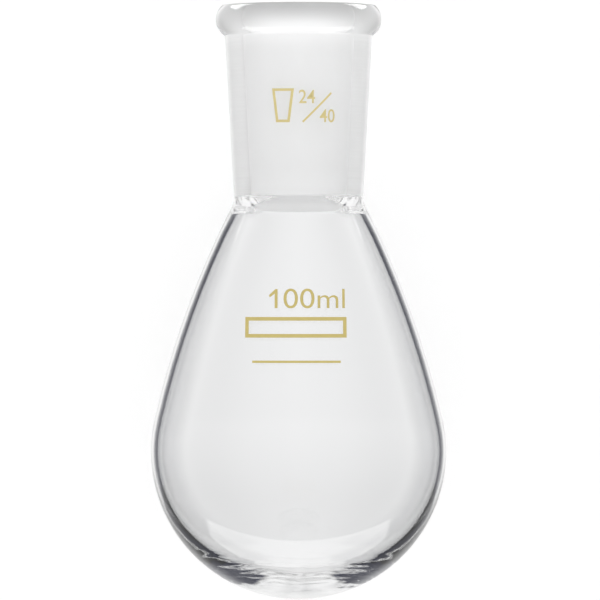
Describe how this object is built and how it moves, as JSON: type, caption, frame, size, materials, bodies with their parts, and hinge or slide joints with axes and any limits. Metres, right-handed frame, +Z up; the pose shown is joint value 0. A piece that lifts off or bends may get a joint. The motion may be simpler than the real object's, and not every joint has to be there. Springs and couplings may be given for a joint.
{
  "type": "recovery flask",
  "caption": "Pear-shaped evaporating flask of clear glass with a round bottom, a thick ground-socket neck and a beaded rim, lying on its side.",
  "frame": {"origin": "on the bench, under the middle of the flask's box as it lies at rest on its belly and the bead of its rim", "axes": "+Y towards the mouth, +Z up from the bench, X across the flask; the flask's own axis lies in the YZ plane and dips 8.7 degrees below +Y at the mouth, and the printed side faces up"},
  "size_m": [0.062, 0.126, 0.062],
  "materials": {
    "clear_glass": "clear, fire-polished, with a ground zone in the neck",
    "print": "fired-on ochre enamel"
  },
  "bodies": {
    "root": {"flask_body": "clear_glass"}
  },
  "joints": []
}
